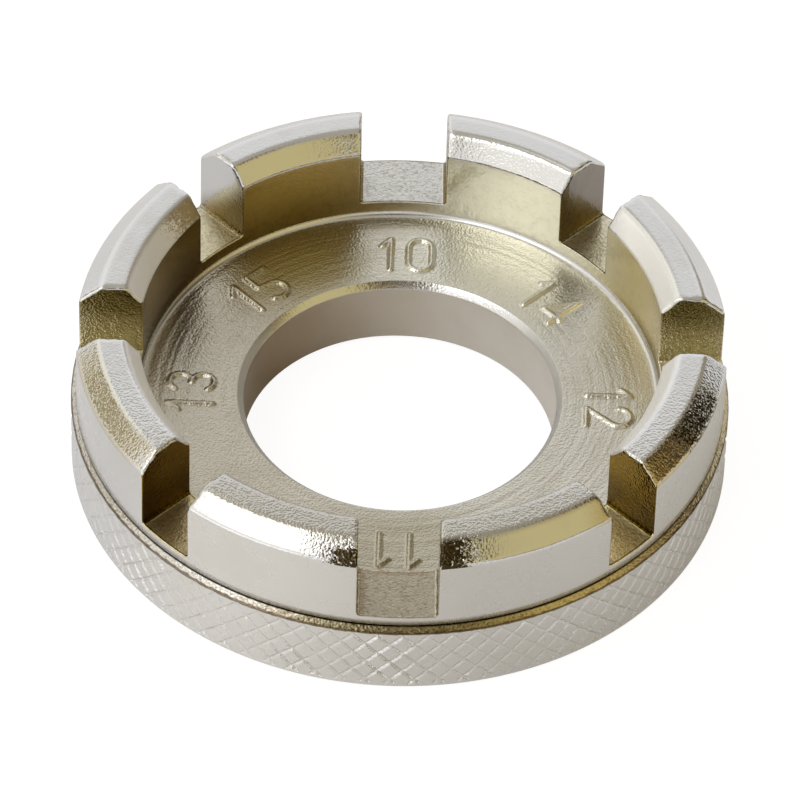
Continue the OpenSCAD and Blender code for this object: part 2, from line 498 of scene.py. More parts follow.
def slot_angle(i):
    """The angle of a slot round the axis, from its mount."""
    x, y, _ = MOUNTS[SLOTS[i % SLOT_COUNT][0]]["pos_m"]
    return math.atan2(y, x) % FULL_TURN


def cavity_radius(sizes):
    return CROWN_R - sizes.wall


def web_height(sizes):
    return SLOT_FLOOR - sizes.web_drop


def under_slots(sizes):
    """The height just below the slots' rounded edges."""
    return SLOT_FLOOR - 2 * sizes.edge_round


def away_and_aside(angle):
    """The directions away from the axis and across it, at an angle round the axis."""
    away = np.array([math.cos(angle), math.sin(angle), 0.0])
    return away, np.array([-math.sin(angle), math.cos(angle), 0.0])


def crown_outline(sizes):
    """Section of a jaw's skin, from the cavity over the top to the outside."""
    cavity_r = cavity_radius(sizes)
    spring_z = SLOT_FLOOR + sizes.slot_corner
    arc_steps = 5
    outline, facing = rounded_outline(
        [
            (cavity_r, spring_z),
            (cavity_r, CROWN_H - sizes.inner_bevel_h),
            (cavity_r + sizes.inner_bevel_w, CROWN_H),
            (CROWN_R - sizes.outer_bevel_w, CROWN_H),
            (CROWN_R, CROWN_H - sizes.outer_bevel_h),
            (CROWN_R, spring_z),
        ],
        [sizes.inner_shoulder, sizes.inner_crest, sizes.outer_crest, sizes.outer_shoulder],
        sizes.mesh_step, arc_steps,
    )
    # The straight walls below the bevels need few rows
    wall_step = 3
    upright_share = 1e-6
    upright = np.abs(facing[:, 1]) < upright_share
    in_wall = upright & np.roll(upright, 1) & np.roll(upright, -1)
    in_wall[[0, -1]] = False
    keep = ~in_wall | (np.arange(len(outline)) % wall_step == 0)
    return outline[keep], facing[keep]


def trough(half, floor, corner, corner_steps=5, floor_steps=9):
    """Section of a slot's bottom: places across it and heights, and the directions that they face."""
    turn = np.linspace(0, math.pi / 2, corner_steps + 1)
    left = np.stack([-half + corner - corner * np.cos(turn), floor + corner - corner * np.sin(turn)], axis=1)
    left_facing = np.stack([np.cos(turn), np.sin(turn)], axis=1)
    across = np.linspace(-half + corner, half - corner, floor_steps + 1)[1:-1]
    flat = np.stack([across, np.full(across.shape, floor)], axis=1)
    flat_facing = np.tile([0.0, 1.0], (len(across), 1))
    mirror = np.array([-1.0, 1.0])
    points = np.concatenate([left, flat, left[::-1] * mirror])
    facing = np.concatenate([left_facing, flat_facing, left_facing[::-1] * mirror])
    return points, facing


def slot_points(edge, angle, turn, inset):
    """A ring of points round a slot. turn is 0 on the crown's skin and a quarter turn inside the slot."""
    radius, across, height, out_r, out_z, in_s, in_z, rounding = edge.T
    sink = rounding * (1 - math.cos(turn)) + inset
    draw = rounding * (1 - math.sin(turn))
    r = radius - sink * out_r
    s = across - draw * in_s
    z = height - sink * out_z - draw * in_z
    away, aside = away_and_aside(angle)
    skin = out_r[:, None] * away + out_z[:, None] * UP
    inside = in_s[:, None] * aside + in_z[:, None] * UP
    return polar(angle + np.arcsin(s / r), r, z), skin * math.cos(turn) + inside * math.sin(turn)


def edge_rounding(sizes, height):
    """The rounding along a slot's edge at each height: larger over the jaws' tops."""
    start = CROWN_H - sizes.inner_bevel_h
    over = smooth_step(height, start - sizes.inner_shoulder, start + sizes.inner_shoulder)
    return sizes.edge_round + (sizes.crest_edge_round - sizes.edge_round) * over


def jaw_skins(shell, sizes, outline, facing):
    """The skin of each jaw, from the cavity over the top to the outside."""
    jaw_share = 0.72
    steps = round(CROWN_R * SLOT_PITCH * jaw_share / sizes.mesh_step)
    share_across = np.linspace(0, 1, steps + 1)
    radius = outline[:, 0]
    rounding = edge_rounding(sizes, outline[:, 1])
    level_share = 0.05
    rise = np.maximum(facing[:-1, 1], facing[1:, 1])
    wall = np.where(facing[:-1, 0] < 0, CAVITY, TURNED)
    finish = np.where(rise > level_share, FORMED, wall)
    skins = []
    for i in range(SLOT_COUNT):
        before = sizes.slot_widths[i] / 2 + rounding
        after = sizes.slot_widths[(i + 1) % SLOT_COUNT] / 2 + rounding
        start = slot_angle(i) + np.arcsin(before / radius)
        end = slot_angle(i) + SLOT_PITCH - np.arcsin(after / radius)
        angle = start[:, None] + (end - start)[:, None] * share_across
        skins.append(shell.ring(angle, outline.T[:, :, None], facing.T[:, :, None]))
        shell.grid(skins[-1], finish)
    return skins


def slot_edge(sizes, i, outline, facing, bottom, bottom_facing):
    """The edge round a slot: along the outer rim, over one jaw, along the inner rim, over the other."""
    rows = len(outline)
    inner = len(bottom) - 2

    def rim(radius, out_r, order):
        fill = np.ones(inner)
        return np.column_stack([
            fill * radius, bottom[1:-1][order], fill * out_r, fill * 0, bottom_facing[1:-1][order],
            fill * sizes.edge_round,
        ])

    def side(sign, order):
        fill = np.ones(rows)
        return np.column_stack([
            outline[order][:, 0], fill * sign * sizes.slot_widths[i] / 2, outline[order][:, 1],
            facing[order], fill * -sign, fill * 0, edge_rounding(sizes, outline[order][:, 1]),
        ])

    forward = slice(None)
    back = slice(None, None, -1)
    return np.concatenate([
        rim(CROWN_R, 1, forward), side(1, back), rim(cavity_radius(sizes), -1, back), side(-1, forward)
    ])


def cut_slot(shell, sizes, i, skins, outline, facing):
    """One slot: its rounded edges, its bottom and the end faces of the two jaws beside it."""
    angle = slot_angle(i)
    rows = len(outline)
    bottom, bottom_facing = trough(sizes.slot_widths[i] / 2, SLOT_FLOOR, sizes.slot_corner)
    inner = len(bottom) - 2
    edge = slot_edge(sizes, i, outline, facing, bottom, bottom_facing)
    place, facing_out = slot_points(edge, angle, 0, 0)
    inner_first = inner + rows
    inner_end = inner_first + inner
    outer_rim = shell.add(place[:inner], facing_out[:inner])
    inner_rim = shell.add(place[inner_first:inner_end], facing_out[inner_first:inner_end])
    ring = np.concatenate([outer_rim, skins[i][::-1, 0], inner_rim, skins[i - 1][:, -1]])
    heights = edge[:, 2]
    over_top = heights > CROWN_H - sizes.inner_bevel_h
    at_floor = heights < SLOT_FLOOR + sizes.slot_corner / 2
    edge_finish = np.where(over_top, FORMED, np.where(at_floor, FLOORED, MILLED))[None, :]
    round_steps = 3
    for step in range(1, round_steps + 1):
        next_ring = shell.add(*slot_points(edge, angle, math.pi / 2 * step / round_steps, 0))
        shell.band(ring, next_ring, edge_finish)
        ring = next_ring
    support = shell.add(*slot_points(edge, angle, math.pi / 2, sizes.edge_round))
    shell.band(ring, support, MILLED)

    _, aside = away_and_aside(angle)
    bottom_out = bottom_facing[:, :1] * aside + bottom_facing[:, 1:] * UP
    bottom_steps = 9
    start_r = CROWN_R - 2 * sizes.edge_round
    end_r = cavity_radius(sizes) + 2 * sizes.edge_round
    columns = [np.concatenate([support[-1:], support[:inner + 1]])]
    for r in np.linspace(start_r, end_r, bottom_steps + 1)[1:-1]:
        columns.append(shell.add(polar(angle + np.arcsin(bottom[:, 0] / r), r, bottom[:, 1]), bottom_out))
    columns.append(support[inner_first - 1:inner_end + 1][::-1])
    grid = np.stack(columns, axis=1)
    level_share = 0.95
    level = np.minimum(bottom_facing[:-1, 1], bottom_facing[1:, 1]) > level_share
    shell.grid(grid, np.where(level, FLOORED, MILLED))
    shell.polygon(np.concatenate([support[inner:inner_first], grid[-1, 1:-1][::-1]]), MILLED)
    shell.polygon(np.concatenate([support[inner_end:], grid[0, 1:-1]]), MILLED)
    return outer_rim, inner_rim[::-1]


def add_foot(shell, sizes, outside, angle):
    """The outside below the slots, the ledge on the ring, and the seat inside the ring."""
    slope = math.sqrt(1 / 2)
    ledge = shell.carry(
        outside, angle,
        [
            (CROWN_R, under_slots(sizes)),
            (CROWN_R, RING_H + sizes.foot_gap),
            (CROWN_R - sizes.foot_gap, RING_H),
        ],
        [(1, 0), (1, 0), (slope, -slope)], TURNED,
    )
    seat_r = RING_R - bpy.context.scene.spoke_wrench_ring.wall
    seat = shell.ring(COARSE, (seat_r, RING_H), (1, 0))
    shell.zip_rings(ledge, angle, seat, COARSE, TURNED)
    seat_foot = shell.ring(COARSE, (seat_r, 0), (0, -1))
    shell.band(seat, seat_foot, TURNED)
    return seat_foot


def add_bore(shell, sizes, seat_foot, web_start):
    """The underside, the bore and the bevel at its top."""
    web_z = web_height(sizes)
    arc_steps = 3
    outline, facing = rounded_outline(
        [
            (BORE_R + sizes.foot_bevel, 0),
            (BORE_R, sizes.foot_bevel),
            (BORE_R, web_z - sizes.bore_bevel),
            (BORE_R + sizes.bore_bevel, web_z),
            (web_start, web_z),
        ],
        [sizes.edge_round] * 3, 5 * sizes.mesh_step, arc_steps,
    )
    start = shell.ring(COARSE, outline[0], facing[0])
    shell.band(seat_foot, start, TURNED)
    level_share = 0.01
    straight = np.nonzero(facing[:, 1] < level_share)[0][-1] + 1
    bevel_foot = shell.carry(start, COARSE, outline[1:straight], facing[1:straight], BORED)
    return shell.carry(bevel_foot, COARSE, outline[straight:-1], facing[straight:-1], FORMED)


def add_fillet(shell, sizes, inside, angle):
    """The cavity's wall below the slots, and the fillet at its foot."""
    cavity_r = cavity_radius(sizes)
    fillet = sizes.cavity_fillet
    turn = np.linspace(0, -math.pi / 2, 6)
    outline = np.stack([
        cavity_r - fillet + fillet * np.cos(turn), web_height(sizes) + fillet + fillet * np.sin(turn)
    ], axis=1)
    facing = np.stack([-np.cos(turn), -np.sin(turn)], axis=1)
    foot = shell.carry(
        inside, angle, [(cavity_r, under_slots(sizes)), outline[0]], [(-1, 0), (-1, 0)], CAVITY
    )
    for rows, finish in ((slice(1, 2), CAVITY), (slice(2, 5), TURNED), (slice(5, 6), FACED)):
        foot = shell.carry(foot, angle, outline[rows], facing[rows], finish)
    return foot


def web_angles(sizes, dense_r):
    """Angles of the web's columns: close together under the numbers, and wide apart elsewhere."""
    digits_w = (sizes.digit_w + sizes.stroke_w) / 2 + sizes.digit_gap + sizes.digit_w + sizes.stroke_w
    reach = (digits_w / 2 + sizes.number_shift) / dense_r
    wide_step = math.radians(1.5)
    close_step = sizes.number_step / (dense_r + sizes.digit_h / 2)
    angles = []
    for i, (_, _, number) in enumerate(SLOTS):
        next_number = SLOTS[(i + 1) % SLOT_COUNT][2]
        start = slot_angle(i)
        end = start + SLOT_PITCH
        if number:
            middle = start - sizes.number_turn
            count = round(2 * reach / close_step)
            angles.append(np.linspace(middle - reach, middle + reach, count, endpoint=False))
            start = middle + reach
        if next_number:
            end = end - sizes.number_turn - reach
        count = max(1, round((end - start) / wide_step))
        angles.append(np.linspace(start, end, count, endpoint=False))
    return np.concatenate(angles)


def web_radii(sizes, start, end, dense_start, dense_end):
    """Radii of the web's rows, close together where the numbers are."""
    runs = []
    for low, high, step in (
        (start, dense_start, sizes.wide_step),
        (dense_start, dense_end, sizes.number_step),
        (dense_end, end, sizes.wide_step),
    ):
        runs.append(np.linspace(low, high, max(1, round((high - low) / step)), endpoint=False))
    return np.concatenate([*runs, [end]])


def turning_marks(radii, angles, pitch):
    """Heights from -1 to 1 of the marks that a cutter left on the web: long arcs that fade in and out."""
    arc_share = 2.2
    contrast = 1.6
    marks = np.zeros((len(radii), len(angles)))
    for i, radius in enumerate(radii):
        across = float(radius) / pitch
        for j, angle in enumerate(angles):
            spot = Vector((across, arc_share * math.cos(angle), arc_share * math.sin(angle)))
            marks[i, j] = noise.noise(spot)
    return np.clip(marks * contrast, -1, 1)


def add_web(shell, sizes, web_start, bore_top, cavity_foot, foot_angle):
    """The web, with the marks of its turning and the raised numbers."""
    cavity_r = cavity_radius(sizes)
    middle_r = (BORE_R + cavity_r) / 2
    margin = sizes.digit_h / 2 + sizes.stroke_w
    radii = web_radii(
        sizes, web_start, cavity_r - sizes.cavity_fillet - sizes.mesh_step,
        middle_r - margin - sizes.number_shift, middle_r + margin + sizes.number_shift,
    )
    angle = web_angles(sizes, middle_r - sizes.digit_h / 2)
    place = polar(angle, radii[:, None], web_height(sizes))
    edge_fade = smooth_step(radii, radii[0], radii[0] + sizes.foot_bevel)
    edge_fade = edge_fade * smooth_step(-radii, -radii[-1], -radii[-1] + sizes.foot_bevel)
    rise = sizes.mark_depth * turning_marks(radii, angle, sizes.mark_pitch) * edge_fade[:, None]
    for i, (_, _, number) in enumerate(SLOTS):
        if number:
            rise = rise + number_relief(
                place[..., 0], place[..., 1], slot_angle(i), number, middle_r, sizes
            )
    place[..., 2] += rise
    web = shell.add(place, UP)
    shell.grid(np.concatenate([web, web[:, :1]], axis=1), FACED)
    shell.zip_rings(bore_top, COARSE, web[0], angle, FACED)
    shell.zip_rings(cavity_foot, foot_angle, web[-1], angle, FACED)


def burr_depths(points, sizes):
    """How deep the edges are worn in at each point: only along the slots, at the jaws' tops."""
    start = CROWN_H - sizes.inner_bevel_h - sizes.inner_shoulder
    over = smooth_step(points[:, 2], start, CROWN_H - sizes.inner_bevel_h / 2)
    nearness = np.zeros(len(points))
    for i in range(SLOT_COUNT):
        away, aside = away_and_aside(slot_angle(i))
        gap = np.abs(np.abs(points @ aside) - sizes.slot_widths[i] / 2)
        here = (1 - smooth_step(gap, 0, sizes.burr_reach)) * (points @ away > 0)
        nearness = np.maximum(nearness, here)
    mask = over * nearness
    wear_share = 0.2
    finer = 2.3
    depth = np.zeros(len(points))
    for i in np.nonzero(mask > 0)[0]:
        spot = Vector([float(value) for value in points[i]]) / sizes.burr_size
        depth[i] = max(0, noise.noise(spot) + wear_share) + max(0, noise.noise(spot * finer)) / 2
    return depth * mask * sizes.burr_depth


def make_crown(sizes, materials):
    """The whole crown as one closed shell."""
    shell = Shell()
    outline, facing = crown_outline(sizes)
    skins = jaw_skins(shell, sizes, outline, facing)
    rims = [cut_slot(shell, sizes, i, skins, outline, facing) for i in range(SLOT_COUNT)]
    sides = []
    for side, row in ((0, -1), (1, 0)):
        numbers = np.concatenate([np.append(rim[side], skin[row]) for rim, skin in zip(rims, skins)])
        points = np.concatenate(shell.points)[numbers]
        sides.append((numbers, np.arctan2(points[:, 1], points[:, 0])))
    (outside, outside_angle), (inside, inside_angle) = sides
    web_start = BORE_R + sizes.bore_bevel + sizes.foot_bevel / 2
    seat_foot = add_foot(shell, sizes, outside, outside_angle)
    bore_top = add_bore(shell, sizes, seat_foot, web_start)
    cavity_foot = add_fillet(shell, sizes, inside, inside_angle)
    add_web(shell, sizes, web_start, bore_top, cavity_foot, inside_angle)
    depth = burr_depths(np.concatenate(shell.points), sizes)
    return shell.build("crown", -np.concatenate(shell.outward) * depth[:, None], materials)


# Node helpers

class Value:
    """What a node puts out. Sums and products of values become Math nodes."""

    def __init__(self, socket):
        self.socket = socket
        self.tree = socket.id_data

    def __add__(self, other):
        return calculate("ADD", self, other)

    def __sub__(self, other):
        return calculate("SUBTRACT", self, other)

    def __rsub__(self, other):
        return calculate("SUBTRACT", other, self)

    def __mul__(self, other):
        return calculate("MULTIPLY", self, other)

    def __truediv__(self, other):
        return calculate("DIVIDE", self, other)

    def __rtruediv__(self, other):
        return calculate("DIVIDE", other, self)

    def __abs__(self):
        return calculate("ABSOLUTE", self)

    def ramp(self, low, high, at_low, at_high, kind="SMOOTHSTEP"):
        """Goes from at_low to at_high while the value goes from low to high."""
        names = ("Value", "From Min", "From Max", "To Min", "To Max")
        values = dict(zip(names, (self, low, high, at_low, at_high)))
        return value_from(self.tree, "ShaderNodeMapRange", values, interpolation_type=kind)

    def rise(self, low, high, most=1.0):
        """Goes smoothly from nothing to the most."""
        return self.ramp(low, high, 0.0, most)

    def fall(self, low, high, most=1.0):
        """Goes smoothly from the most to nothing."""
        return self.ramp(low, high, most, 0.0)


def feed(socket, value):
    """Links a node's value into an input, or sets the input. Colours come without their alpha."""
    if isinstance(value, Value):
        value.tree.links.new(value.socket, socket)
    elif socket.type == "RGBA":
        socket.default_value = (*value, 1.0)
    else:
        socket.default_value = value


def add_node(tree, kind, values=None, **settings):
    """Adds a node, sets its settings and feeds its inputs."""
    node = tree.nodes.new(kind)
    for key, value in settings.items():
        setattr(node, key, value)
    for key, value in (values or {}).items():
        feed(node.inputs[key], value)
    return node


def value_from(tree, kind, values=None, output=0, **settings):
    """Adds a node, and returns one of its values."""
    return Value(add_node(tree, kind, values, **settings).outputs[output])


def tree_of(*values):
    """The tree that the values belong to."""
    return next(value.tree for value in values if isinstance(value, Value))


def calculate(operation, *values, clamp=False):
    """A Math node's result."""
    settings = {"operation": operation, "use_clamp": clamp}
    return value_from(tree_of(*values), "ShaderNodeMath", dict(enumerate(values)), **settings)


def larger(first, second):
    """The larger of two numbers."""
    return calculate("MAXIMUM", first, second)


def mix(amount, first, second):
    """Mixes two numbers."""
    values = {0: amount, 2: first, 3: second}
    return value_from(tree_of(amount, first, second), "ShaderNodeMix", values, data_type="FLOAT")


def blend(amount, first, second, kind="MIX"):
    """Mixes two colours, or tints the first with the second where kind is MULTIPLY."""
    values = {0: amount, 6: first, 7: second}
    tree = tree_of(amount, first, second)
    return value_from(tree, "ShaderNodeMix", values, 2, data_type="RGBA", blend_type=kind)


def cloud(place, scale, detail, roughness=0.5):
    """Noise from 0 to 1."""
    values = {"Vector": place, "Scale": scale, "Detail": detail, "Roughness": roughness}
    return value_from(place.tree, "ShaderNodeTexNoise", values)


def place_on(tree):
    """The place on the piece, in metres."""
    return value_from(tree, "ShaderNodeTexCoord", output="Object")


def place_in_mm(tree):
    """The place on the piece, in millimetres."""
    values = {"Vector": place_on(tree), "Scale": 1 / MM}
    return value_from(tree, "ShaderNodeVectorMath", values, operation="SCALE")


def split(place):
    """The x, y and z of a place."""
    return [Value(socket) for socket in add_node(place.tree, "ShaderNodeSeparateXYZ", {0: place}).outputs]


def join(x, y, z):
    """A place from its x, y and z."""
    return value_from(tree_of(x, y, z), "ShaderNodeCombineXYZ", {0: x, 1: y, 2: z})


def from_axis(x, y):
    """The distance from the axis."""
    return calculate("SQRT", x * x + y * y)


def new_group(name, inputs, outputs, kind="ShaderNodeTree"):
    """A node group. Returns its tree, the values that it is given and its output sockets, both by name."""
    tree = bpy.data.node_groups.new(name, kind)
    for label, socket, default in inputs:
        made = tree.interface.new_socket(label, in_out="INPUT", socket_type=f"NodeSocket{socket}")
        if default is not None:
            made.default_value = default
    for label, socket in outputs:
        tree.interface.new_socket(label, in_out="OUTPUT", socket_type=f"NodeSocket{socket}")
    given = tree.nodes.new("NodeGroupInput").outputs
    result = tree.nodes.new("NodeGroupOutput").inputs
    return tree, {label: Value(given[label]) for label, _, _ in inputs}, result


# Grip ring

def knurl_tree():
    """Geometry nodes that turn a section into a ring, and cut two sets of crossed grooves in it."""
    tree, given, result = new_group(
        "Knurled ring",
        [
            ("Section", "Geometry", None),
            ("Section Points", "Int", 40),
            ("Columns", "Int", 1190),
            ("Starts", "Int", 85),
            ("Outside Radius", "Float", 0.019),
            ("Lean", "Float", math.radians(45)),
            ("Groove Depth", "Float", 0.0001),
            ("Groove Width", "Float", 0.0003),
            ("Unevenness", "Float", 0.5),
            ("Low End", "Float", 0.0002),
            ("High End", "Float", 0.0045),
            ("Finish", "Material", None),
        ],
        [("Ring", "Geometry")], "GeometryNodeTree",
    )
    columns = given["Columns"]
    rows = given["Section Points"] + 1
    sheet = value_from(
        tree, "GeometryNodeMeshGrid", {"Vertices X": columns + 1, "Vertices Y": rows}, "Mesh"
    )
    index = value_from(tree, "GeometryNodeInputIndex")
    column = calculate("FLOOR", (index + 0.5) / rows)
    row = calculate("MODULO", index - column * rows, given["Section Points"])
    place = value_from(tree, "GeometryNodeInputPosition")
    pick = value_from(
        tree, "GeometryNodeSampleIndex",
        {"Geometry": given["Section"], "Value": place, "Index": row}, data_type="FLOAT_VECTOR",
    )
    turned = value_from(
        tree, "ShaderNodeVectorRotate",
        {"Vector": pick, "Angle": column / columns * FULL_TURN}, rotation_type="Z_AXIS",
    )
    swept = value_from(tree, "GeometryNodeSetPosition", {"Geometry": sheet, "Position": turned})
    same_spot = 0.002 * MM
    closed = value_from(
        tree, "GeometryNodeMergeByDistance", {"Geometry": swept, "Distance": same_spot}
    )

    x, y, z = split(place)
    across = calculate("ARCTAN2", y, x) / FULL_TURN * given["Starts"]
    pitch = given["Outside Radius"] * FULL_TURN / given["Starts"]
    climb = z * calculate("TANGENT", given["Lean"]) / pitch
    square = pitch * calculate("COSINE", given["Lean"])
    half_width = given["Groove Width"] * 0.5
    cuts = []
    for phase in (across + climb, across - climb):
        from_groove = (0.5 - abs(calculate("FRACT", phase) - 0.5)) * square
        cuts.append(from_groove.ramp(0.0, half_width, 1.0, 0.0, "LINEAR"))
    patch_scale = 300.0
    lessened = 1.0 - cloud(place, patch_scale, 3.0).rise(0.35, 0.65) * given["Unevenness"]
    fade = 0.3 * MM
    below_top = z.fall(given["High End"] - fade, given["High End"])
    above_foot = z.rise(given["Low End"], given["Low End"] + fade)
    groove = larger(*cuts) * lessened * (below_top * above_foot)
    limit = given["Outside Radius"] - groove * given["Groove Depth"]
    radius = from_axis(x, y)
    ratio = calculate("MINIMUM", radius, limit) / radius

    marked = value_from(
        tree, "GeometryNodeStoreNamedAttribute",
        {"Geometry": closed, "Name": "groove", "Value": groove}, data_type="FLOAT", domain="POINT",
    )
    knurled = value_from(
        tree, "GeometryNodeSetPosition", {"Geometry": marked, "Position": join(x * ratio, y * ratio, z)}
    )
    flat = value_from(
        tree, "GeometryNodeSetShadeSmooth", {"Geometry": knurled, "Shade Smooth": False}
    )
    real = value_from(tree, "GeometryNodeRealizeInstances", {"Geometry": flat})
    finished = value_from(
        tree, "GeometryNodeSetMaterial", {"Geometry": real, "Material": given["Finish"]}
    )
    feed(result["Ring"], finished)
    return tree


def ring_section(sizes, row_step):
    """Section of the ring, as radii and heights. Its wall's rows lie where the grooves cross the columns."""
    seat_r = RING_R - sizes.wall
    rounding = sizes.edge_round
    arc_steps = 3
    outline, _ = rounded_outline(
        [
            (seat_r, 0),
            (seat_r, RING_H),
            (RING_R - sizes.bevel, RING_H),
            (RING_R, RING_H - sizes.bevel),
            (RING_R, sizes.foot_bevel),
            (RING_R - sizes.foot_bevel, 0),
            (seat_r + row_step, 0),
        ],
        [rounding] * 5, sizes.wall / 2, arc_steps,
    )
    wall = np.nonzero(outline[:, 0] > RING_R - rounding / 100)[0]
    first_row = math.floor(outline[wall[0]][1] / row_step - 0.5)
    last_row = math.ceil(outline[wall[-1]][1] / row_step + 0.5)
    rows = [(RING_R, row * row_step) for row in range(first_row, last_row - 1, -1)]
    return np.concatenate([outline[:wall[0] + 1], rows, outline[wall[-1]:]])


def fold_grooves(tool):
    """Splits each bent face of the knurling along the groove or the crest that crosses it."""
    least_bend = 0.001 * MM
    least_lead = 0.002 * MM
    for face in list(tool.faces):
        corners = list(face.verts)
        radii = [corner.co.xy.length for corner in corners]
        if len(corners) == 4 and max(radii) - min(radii) > least_bend:
            even = abs(radii[0] - radii[2])
            odd = abs(radii[1] - radii[3])
            if abs(even - odd) > least_lead:
                first = 0 if even < odd else 1
            else:
                first = 0 if radii[0] + radii[2] < radii[1] + radii[3] else 1
            bmesh.utils.face_split(face, corners[first], corners[first + 2])


def make_ring(sizes, material):
    """The grip ring: its section is drawn here, and the nodes sweep and knurl it."""
    section = ring_section(sizes, FULL_TURN * RING_R / sizes.starts / sizes.steps)
    count = len(section)
    drawn = bpy.data.meshes.new("ring_section")
    drawn.from_pydata([(r, 0, z) for r, z in section], [(i, (i + 1) % count) for i in range(count)], [])
    carrier = new_object("ring_section", drawn)
    modifier = carrier.modifiers.new("Knurl", "NODES")
    modifier.node_group = knurl_tree()
    values = {
        "Section Points": count,
        "Columns": sizes.starts * sizes.steps,
        "Starts": sizes.starts,
        "Outside Radius": RING_R,
        "Lean": sizes.lean,
        "Groove Depth": sizes.groove_depth,
        "Groove Width": sizes.groove_width,
        "Unevenness": sizes.unevenness,
        "Low End": sizes.foot_bevel,
        "High End": RING_H - sizes.bevel + sizes.edge_round,
        "Finish": material,
    }
    for socket in modifier.node_group.interface.items_tree:
        if socket.in_out == "INPUT" and socket.name in values:
            modifier[socket.identifier] = values[socket.name]
    bpy.context.view_layer.update()
    graph = bpy.context.evaluated_depsgraph_get()
    mesh = bpy.data.meshes.new_from_object(carrier.evaluated_get(graph))
    carrier.modifiers.remove(modifier)
    bpy.data.objects.remove(carrier)
    mesh.name = "grip_ring"
    return closed_piece("grip_ring", mesh, fold_grooves)


# Finishes

def grain_group(name):
    """Fine pebbly grain, as a height."""
    tree, given, result = new_group(name, [("Size", "Float", 0.00015)], [("Height", "Float")])
    place = place_on(tree)
    scale = 1.0 / given["Size"]
    pebbles = value_from(
        tree, "ShaderNodeTexVoronoi", {"Vector": place, "Scale": scale}, "Distance", feature="SMOOTH_F1"
    )
    dents = cloud(place, scale * 0.4, 3.0)
    feed(result["Height"], pebbles * -0.8 + dents * 0.6)
    return tree


def turning_group(name):
    """Fine marks that a cutter leaves, across a run such as a radius or a height, as a height."""
    tree, given, result = new_group(
        name, [("Across", "Float", 0.0), ("Pitch", "Float", 0.1)], [("Height", "Float")]
    )
    x, y, _ = split(place_on(tree))
    round_axis = 40.0
    spot = join(given["Across"] / given["Pitch"], x * round_axis, y * round_axis)
    feed(result["Height"], cloud(spot, 1.0, 2.0, 0.6))
    return tree


def tone_group(name):
    """Slow changes in the plating: its colour, and a mask for its roughness."""
    tree, given, result = new_group(
        name,
        [
            ("Plating", "Color", None),
            ("Tarnish", "Color", None),
            ("Size", "Float", 0.003),
            ("Amount", "Float", 0.5),
        ],
        [("Colour", "Color"), ("Dull", "Float")],
    )
    dull = cloud(place_on(tree), 1.0 / given["Size"], 5.0, 0.6).rise(0.4, 0.75)
    amount = dull * given["Amount"]
    feed(result["Colour"], blend(amount, given["Plating"], given["Tarnish"], "MULTIPLY"))
    feed(result["Dull"], dull)
    return tree


def stain_group(name):
    """Brown stains in patches, as a mask."""
    tree, given, result = new_group(
        name, [("Size", "Float", 0.001), ("Amount", "Float", 0.5)], [("Mask", "Float")]
    )
    patches = cloud(place_on(tree), 1.0 / given["Size"], 8.0, 0.75).rise(0.47, 0.63)
    feed(result["Mask"], patches * given["Amount"])
    return tree


GROUPS = {
    "Pebbly grain": grain_group,
    "Turning marks": turning_group,
    "Plating tone": tone_group,
    "Stains": stain_group,
}


def shared_group(name):
    """A node group that several finishes use, built once."""
    return bpy.data.node_groups.get(name) or GROUPS[name](name)


def new_material(name, constants):
    """A material and its shader, with the inputs that don't vary."""
    material = bpy.data.materials.new(name)
    material.use_nodes = True
    shader = material.node_tree.nodes["Principled BSDF"]
    for key, value in constants.items():
        shader.inputs[key].default_value = value
    return material, shader


